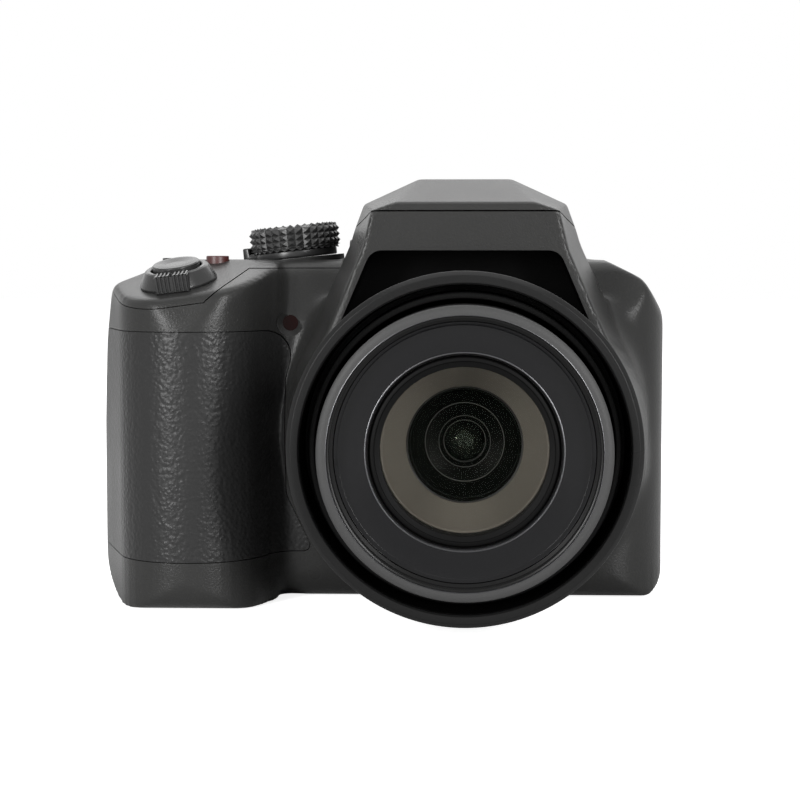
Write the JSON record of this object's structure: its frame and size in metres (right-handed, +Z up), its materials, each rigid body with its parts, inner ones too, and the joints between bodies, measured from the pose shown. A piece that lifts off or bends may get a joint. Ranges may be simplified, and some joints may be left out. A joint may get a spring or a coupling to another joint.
{
  "type": "bridge camera",
  "caption": "Black bridge camera with a hand grip, a long two-stage zoom lens, a pop-up flash over the hump, a viewfinder, a mode dial and a rear screen.",
  "frame": {"origin": "centre of the tripod socket's mouth, in the plane of the base", "axes": "+Z up, the lens looks along -Y, +X to the right as one looks into the lens"},
  "size_m": [0.1302, 0.1192, 0.095],
  "materials": {
    "body_plastic": "fine matte grain",
    "deck_plastic": "fine matte grain",
    "grip_rubber": "leather-grained rubber",
    "thumb_rubber": "leather-grained rubber",
    "eyecup_rubber": "smooth matte rubber",
    "dark_metal": "black satin paint",
    "trim_metal": "black satin paint with a bright chamfer",
    "rim_metal": "grey fine texture",
    "name_plate": "glossy black",
    "button_plastic": "satin black",
    "record_plastic": "satin black with a red dot",
    "inner_plastic": "plain moulded",
    "steel": "plain",
    "lug_metal": "plated",
    "brass": "machined",
    "aluminium": "stamped",
    "coated_glass": "coated",
    "clear_glass": "clear",
    "flash_glass": "ribbed diffuser",
    "screen_glass": "anti-glare clear",
    "display": "dark display",
    "board": "lacquered board",
    "battery_case": "wrapped cell pack",
    "card_plastic": "moulded card"
  },
  "bodies": {
    "body": {"front_cover": "body_plastic", "rear_cover": "body_plastic", "control_deck": "deck_plastic", "grip_rubber": "grip_rubber", "thumb_rubber": "thumb_rubber", "hinge_pins": "steel", "viewfinder_module": "inner_plastic", "eyepiece_lens": "clear_glass", "eyecup": "eyecup_rubber", "strap_lugs": "lug_metal", "af_lamp_lens": "clear_glass", "screen_window": "screen_glass", "screen_panel": "display", "fixed_barrel": "dark_metal", "outer_ring": "trim_metal", "sensor_unit": "aluminium", "zoom_motor": "steel", "chassis": "aluminium", "main_board": "board", "battery": "battery_case", "battery_holder": "inner_plastic", "memory_card": "card_plastic", "sockets": "steel", "tripod_socket": "brass", "case_screws": "steel", "flash_capacitor": "display"},
    "flash": {"flash_cover": "body_plastic", "flash_head": "inner_plastic", "flash_window": "flash_glass"},
    "cam_tube": {"cam_tube": "aluminium"},
    "outer_stage": {"outer_zoom_barrel": "dark_metal"},
    "inner_stage": {"inner_zoom_barrel": "rim_metal", "name_ring": "name_plate", "front_element": "coated_glass", "iris_unit": "inner_plastic"},
    "second_group": {"second_group": "coated_glass"},
    "focus_group": {"focus_group": "coated_glass"},
    "flash_release_button": {"flash_release_button": "button_plastic"},
    "diopter_dial": {"diopter_dial": "button_plastic"},
    "shutter_button": {"shutter_button": "button_plastic"},
    "zoom_lever": {"zoom_lever": "deck_plastic"},
    "mode_dial": {"mode_dial": "deck_plastic"},
    "power_lever": {"power_lever": "deck_plastic"},
    "record_button": {"record_button": "record_plastic"},
    "function_button": {"function_button": "button_plastic"},
    "rear_dial": {"rear_dial": "button_plastic"},
    "menu_button": {"menu_button": "button_plastic"},
    "left_key": {"left_key": "button_plastic"},
    "up_key": {"up_key": "button_plastic"},
    "right_key": {"right_key": "button_plastic"},
    "down_key": {"down_key": "button_plastic"},
    "view_button": {"view_button": "button_plastic"},
    "lock_button": {"lock_button": "button_plastic"},
    "play_button": {"play_button": "button_plastic"},
    "quick_menu_button": {"quick_menu_button": "button_plastic"},
    "display_button": {"display_button": "button_plastic"},
    "delete_button": {"delete_button": "button_plastic"},
    "battery_door": {"battery_door": "body_plastic"},
    "battery_latch": {"battery_latch": "button_plastic"},
    "terminal_door": {"terminal_door": "eyecup_rubber"}
  },
  "joints": [
    {"name": "flash_lift", "type": "hinge", "parent": "body", "child": "flash", "pos_m": [0, 0.003, 0.0902], "axis": [-1, 0, 0], "range_deg": [0, 50]},
    {"name": "flash_release_press", "type": "slide", "parent": "body", "child": "flash_release_button", "axis": [1, 0, 0], "range_m": [0, 0.0006], "stiffness_N_per_m": 300, "springref_m": -0.0005},
    {"name": "diopter_turn", "type": "hinge", "parent": "body", "child": "diopter_dial", "pos_m": [0.0251, 0.017, 0.081], "axis": [1, 0, 0], "range_deg": [-120, 120]},
    {"name": "shutter_press", "type": "slide", "parent": "body", "child": "shutter_button", "axis": [0.1219, 0.2401, -0.9631], "range_m": [0, 0.0008], "stiffness_N_per_m": 300, "springref_m": -0.0005},
    {"name": "zoom_lever_turn", "type": "hinge", "parent": "body", "child": "zoom_lever", "pos_m": [-0.0638, -0.031, 0.0719], "axis": [-0.1219, -0.2401, 0.9631], "range_deg": [-18, 18], "stiffness_Nm_per_rad": 0.02},
    {"name": "mode_dial_turn", "type": "hinge", "parent": "body", "child": "mode_dial", "pos_m": [-0.0398, -0.002, 0.0772], "axis": [-0.1045, 0, 0.9945], "continuous": true},
    {"name": "power_lever_turn", "type": "hinge", "parent": "body", "child": "power_lever", "pos_m": [-0.0398, -0.002, 0.0772], "axis": [-0.1045, 0, 0.9945], "range_deg": [0, 25]},
    {"name": "record_press", "type": "slide", "parent": "body", "child": "record_button", "axis": [0, 0, -1], "range_m": [0, 0.0005], "stiffness_N_per_m": 300, "springref_m": -0.0005},
    {"name": "function_press", "type": "slide", "parent": "body", "child": "function_button", "axis": [0, 0, -1], "range_m": [0, 0.0005], "stiffness_N_per_m": 300, "springref_m": -0.0005},
    {"name": "rear_dial_turn", "type": "hinge", "parent": "body", "child": "rear_dial", "pos_m": [-0.064, 0.0204, 0.067], "axis": [0, 0, 1], "continuous": true},
    {"name": "menu_press", "type": "slide", "parent": "body", "child": "menu_button", "axis": [0, -1, 0], "range_m": [0, 0.0005], "stiffness_N_per_m": 300, "springref_m": -0.0005},
    {"name": "left_press", "type": "slide", "parent": "body", "child": "left_key", "axis": [0, -1, 0], "range_m": [0, 0.0005], "stiffness_N_per_m": 300, "springref_m": -0.0005},
    {"name": "up_press", "type": "slide", "parent": "body", "child": "up_key", "axis": [0, -1, 0], "range_m": [0, 0.0005], "stiffness_N_per_m": 300, "springref_m": -0.0005},
    {"name": "right_press", "type": "slide", "parent": "body", "child": "right_key", "axis": [0, -1, 0], "range_m": [0, 0.0005], "stiffness_N_per_m": 300, "springref_m": -0.0005},
    {"name": "down_press", "type": "slide", "parent": "body", "child": "down_key", "axis": [0, -1, 0], "range_m": [0, 0.0005], "stiffness_N_per_m": 300, "springref_m": -0.0005},
    {"name": "view_press", "type": "slide", "parent": "body", "child": "view_button", "axis": [0, -1, 0], "range_m": [0, 0.0005], "stiffness_N_per_m": 300, "springref_m": -0.0005},
    {"name": "lock_press", "type": "slide", "parent": "body", "child": "lock_button", "axis": [0, -1, 0], "range_m": [0, 0.0005], "stiffness_N_per_m": 300, "springref_m": -0.0005},
    {"name": "play_press", "type": "slide", "parent": "body", "child": "play_button", "axis": [0, -1, 0], "range_m": [0, 0.0005], "stiffness_N_per_m": 300, "springref_m": -0.0005},
    {"name": "quick_menu_press", "type": "slide", "parent": "body", "child": "quick_menu_button", "axis": [0, -1, 0], "range_m": [0, 0.0005], "stiffness_N_per_m": 300, "springref_m": -0.0005},
    {"name": "display_press", "type": "slide", "parent": "body", "child": "display_button", "axis": [0, -1, 0], "range_m": [0, 0.0005], "stiffness_N_per_m": 300, "springref_m": -0.0005},
    {"name": "delete_press", "type": "slide", "parent": "body", "child": "delete_button", "axis": [0, -1, 0], "range_m": [0, 0.0005], "stiffness_N_per_m": 300, "springref_m": -0.0005},
    {"name": "battery_door_swing", "type": "hinge", "parent": "body", "child": "battery_door", "pos_m": [-0.0502, -0.014, 0.0012], "axis": [0, -1, 0], "range_deg": [0, 95]},
    {"name": "battery_latch_slide", "type": "slide", "parent": "battery_door", "child": "battery_latch", "axis": [1, 0, 0], "range_m": [0, 0.002]},
    {"name": "terminal_door_swing", "type": "hinge", "parent": "body", "child": "terminal_door", "pos_m": [0.045, 0.006, 0.044], "axis": [0, 0, -1], "range_deg": [0, 110]},
    {"name": "outer_stage_slide", "type": "slide", "parent": "body", "child": "outer_stage", "axis": [0, -1, 0], "range_m": [0, 0.035]},
    {"name": "inner_stage_slide", "type": "slide", "parent": "outer_stage", "child": "inner_stage", "axis": [0, -1, 0], "range_m": [0, 0.035]},
    {"name": "cam_turn", "type": "hinge", "parent": "body", "child": "cam_tube", "pos_m": [0, -0.035, 0.0385], "axis": [0, -1, 0], "range_deg": [0, 140]},
    {"name": "second_group_slide", "type": "slide", "parent": "inner_stage", "child": "second_group", "axis": [0, 1, 0], "range_m": [0, 0.008]},
    {"name": "focus_slide", "type": "slide", "parent": "body", "child": "focus_group", "axis": [0, -1, 0], "range_m": [0, 0.002]}
  ],
  "couplings": [
    {"joint": "inner_stage_slide", "follows": "outer_stage_slide", "ratio": 1},
    {"joint": "cam_turn", "follows": "outer_stage_slide", "rad_per_m": 69.763},
    {"joint": "second_group_slide", "follows": "outer_stage_slide", "ratio": 0.2285}
  ]
}
